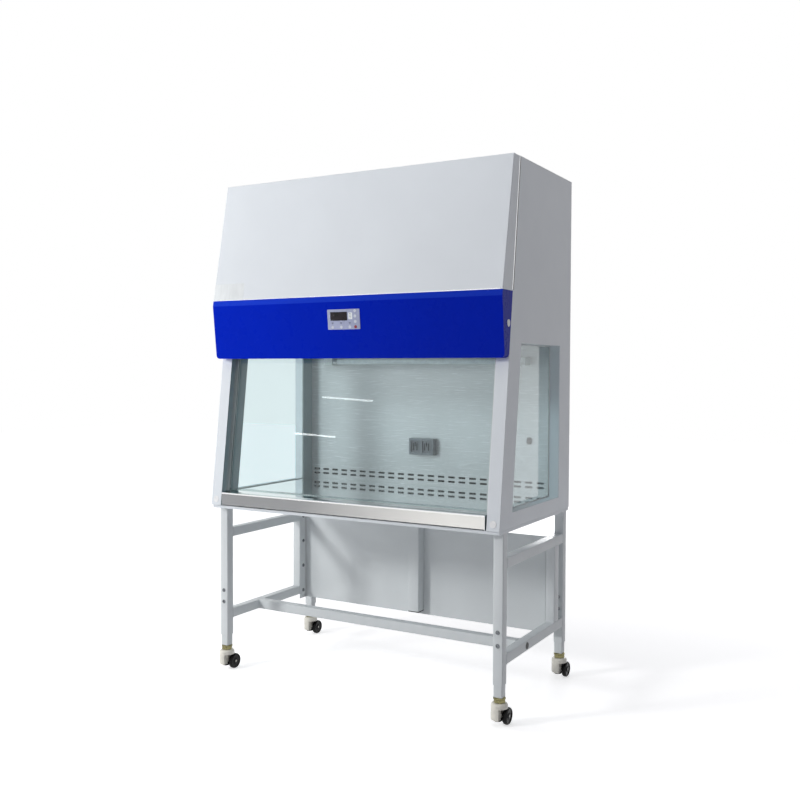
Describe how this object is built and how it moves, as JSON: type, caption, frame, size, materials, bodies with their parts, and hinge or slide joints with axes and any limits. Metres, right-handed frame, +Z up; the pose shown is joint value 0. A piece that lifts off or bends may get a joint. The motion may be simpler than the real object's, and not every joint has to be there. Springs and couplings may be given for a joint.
{
  "type": "vertical laminar flow cabinet",
  "caption": "Clean-air work bench with a sliding front sash, glazed sides, a sloping control fascia and a tubular stand on levelling casters.",
  "frame": {"origin": "on the floor, at the middle of the space that the object takes up", "axes": "+Z up, +X to the right as seen from the front, +Y from the front to the back"},
  "size_m": [1.312, 0.729, 2.029],
  "materials": {
    "stand_paint": "smooth light grey powder coat",
    "cabinet_paint": "smooth off-white powder coat",
    "blue_paint": "smooth deep blue paint",
    "stainless": "fine brushed stainless steel",
    "zinc_steel": "plain zinc-coated sheet",
    "bolt_steel": "bright zinc plating",
    "collar_metal": "dull yellow passivated plating",
    "caster_plastic": "smooth cream moulding",
    "wheel_plastic": "dark nylon",
    "black_rubber": "matt black rubber",
    "black_plastic": "matt black plastic",
    "white_plastic": "smooth white plastic",
    "plate_plastic": "satin silver-grey film",
    "display": "dark glossy window",
    "red_plastic": "smooth red plastic",
    "clear_glass": "tinted float glass",
    "lamp_glass": "clear quartz tube",
    "filter_paper": "pleated glass fibre paper",
    "filter_wool": "coarse fibre mat",
    "aluminium": "satin anodised aluminium",
    "socket_plastic": "matt grey plastic",
    "motor_case": "cast case, dark paint"
  },
  "bodies": {
    "cabinet": {"side_frame_left": "stand_paint", "side_frame_right": "stand_paint", "inner_legs": "stand_paint", "lower_beam": "stand_paint", "stand_back_panel": "stand_paint", "centre_stiffener": "stand_paint", "stand_bolts": "bolt_steel", "plastic_plugs": "black_plastic", "caster_stems": "collar_metal", "base_pan": "zinc_steel", "work_tray": "stainless", "side_wall_left": "cabinet_paint", "side_wall_right": "cabinet_paint", "side_glass_left": "clear_glass", "side_glass_right": "clear_glass", "chamber_back_panel": "stainless", "rear_cover": "cabinet_paint", "top_cover": "cabinet_paint", "head_cover": "cabinet_paint", "control_fascia": "blue_paint", "control_panel": "plate_plastic", "display_window": "display", "controller_box": "black_plastic", "sash_guides": "white_plastic", "cover_caps": "white_plastic", "plenum_box": "zinc_steel", "filter_frame": "aluminium", "filter_media": "filter_paper", "diffuser_screen": "stainless", "blower_housing": "zinc_steel", "blower_motor": "motor_case", "prefilter": "filter_wool", "uv_lamp": "lamp_glass", "uv_lamp_holders": "white_plastic", "chamber_light": "white_plastic", "socket_outlet": "socket_plastic", "wall_plug": "white_plastic", "mains_gland": "black_plastic"},
    "caster_front_left": {"caster_housing_front_left": "caster_plastic"},
    "wheel_front_left": {"caster_wheel_front_left": "wheel_plastic"},
    "foot_front_left": {"foot_pad_front_left": "black_rubber"},
    "caster_back_left": {"caster_housing_back_left": "caster_plastic"},
    "wheel_back_left": {"caster_wheel_back_left": "wheel_plastic"},
    "foot_back_left": {"foot_pad_back_left": "black_rubber"},
    "caster_front_right": {"caster_housing_front_right": "caster_plastic"},
    "wheel_front_right": {"caster_wheel_front_right": "wheel_plastic"},
    "foot_front_right": {"foot_pad_front_right": "black_rubber"},
    "caster_back_right": {"caster_housing_back_right": "caster_plastic"},
    "wheel_back_right": {"caster_wheel_back_right": "wheel_plastic"},
    "foot_back_right": {"foot_pad_back_right": "black_rubber"},
    "sash": {"sash_glass": "clear_glass", "sash_rail": "aluminium"},
    "key_up": {"key_up": "white_plastic"},
    "key_down": {"key_down": "white_plastic"},
    "key_set": {"key_set": "white_plastic"},
    "key_power": {"key_power": "red_plastic"},
    "key_light": {"key_light": "white_plastic"},
    "key_sterilise": {"key_sterilise": "white_plastic"},
    "key_fan": {"key_fan": "white_plastic"},
    "impeller": {"blower_impeller": "zinc_steel"}
  },
  "joints": [
    {"name": "caster_swivel_front_left", "type": "hinge", "parent": "cabinet", "child": "caster_front_left", "pos_m": [-0.625, -0.2965, 0.0837], "axis": [0, 0, 1], "continuous": true},
    {"name": "caster_wheel_roll_front_left", "type": "hinge", "parent": "caster_front_left", "child": "wheel_front_left", "pos_m": [-0.604, -0.2735, 0.031], "axis": [1, 0, 0], "continuous": true},
    {"name": "foot_screw_front_left", "type": "slide", "parent": "caster_front_left", "child": "foot_front_left", "axis": [0, 0, -1], "range_m": [0, 0.019]},
    {"name": "caster_swivel_back_left", "type": "hinge", "parent": "cabinet", "child": "caster_back_left", "pos_m": [-0.625, 0.3105, 0.0837], "axis": [0, 0, 1], "continuous": true},
    {"name": "caster_wheel_roll_back_left", "type": "hinge", "parent": "caster_back_left", "child": "wheel_back_left", "pos_m": [-0.604, 0.3335, 0.031], "axis": [1, 0, 0], "continuous": true},
    {"name": "foot_screw_back_left", "type": "slide", "parent": "caster_back_left", "child": "foot_back_left", "axis": [0, 0, -1], "range_m": [0, 0.019]},
    {"name": "caster_swivel_front_right", "type": "hinge", "parent": "cabinet", "child": "caster_front_right", "pos_m": [0.625, -0.2965, 0.0837], "axis": [0, 0, 1], "continuous": true},
    {"name": "caster_wheel_roll_front_right", "type": "hinge", "parent": "caster_front_right", "child": "wheel_front_right", "pos_m": [0.646, -0.2735, 0.031], "axis": [1, 0, 0], "continuous": true},
    {"name": "foot_screw_front_right", "type": "slide", "parent": "caster_front_right", "child": "foot_front_right", "axis": [0, 0, -1], "range_m": [0, 0.019]},
    {"name": "caster_swivel_back_right", "type": "hinge", "parent": "cabinet", "child": "caster_back_right", "pos_m": [0.625, 0.3105, 0.0837], "axis": [0, 0, 1], "continuous": true},
    {"name": "caster_wheel_roll_back_right", "type": "hinge", "parent": "caster_back_right", "child": "wheel_back_right", "pos_m": [0.646, 0.3335, 0.031], "axis": [1, 0, 0], "continuous": true},
    {"name": "foot_screw_back_right", "type": "slide", "parent": "caster_back_right", "child": "foot_back_right", "axis": [0, 0, -1], "range_m": [0, 0.019]},
    {"name": "sash_slide", "type": "slide", "parent": "cabinet", "child": "sash", "axis": [0, 0.1219, 0.9925], "range_m": [0, 0.5]},
    {"name": "key_up_press", "type": "slide", "parent": "cabinet", "child": "key_up", "axis": [0, 0.9942, 0.108], "range_m": [0, 0.0006], "stiffness_N_per_m": 900, "springref_m": -0.001},
    {"name": "key_down_press", "type": "slide", "parent": "cabinet", "child": "key_down", "axis": [0, 0.9942, 0.108], "range_m": [0, 0.0006], "stiffness_N_per_m": 900, "springref_m": -0.001},
    {"name": "key_set_press", "type": "slide", "parent": "cabinet", "child": "key_set", "axis": [0, 0.9942, 0.108], "range_m": [0, 0.0006], "stiffness_N_per_m": 900, "springref_m": -0.001},
    {"name": "key_power_press", "type": "slide", "parent": "cabinet", "child": "key_power", "axis": [0, 0.9942, 0.108], "range_m": [0, 0.0006], "stiffness_N_per_m": 900, "springref_m": -0.001},
    {"name": "key_light_press", "type": "slide", "parent": "cabinet", "child": "key_light", "axis": [0, 0.9942, 0.108], "range_m": [0, 0.0006], "stiffness_N_per_m": 900, "springref_m": -0.001},
    {"name": "key_sterilise_press", "type": "slide", "parent": "cabinet", "child": "key_sterilise", "axis": [0, 0.9942, 0.108], "range_m": [0, 0.0006], "stiffness_N_per_m": 900, "springref_m": -0.001},
    {"name": "key_fan_press", "type": "slide", "parent": "cabinet", "child": "key_fan", "axis": [0, 0.9942, 0.108], "range_m": [0, 0.0006], "stiffness_N_per_m": 900, "springref_m": -0.001},
    {"name": "impeller_spin", "type": "hinge", "parent": "cabinet", "child": "impeller", "pos_m": [0, 0.0655, 1.72], "axis": [1, 0, 0], "continuous": true}
  ]
}
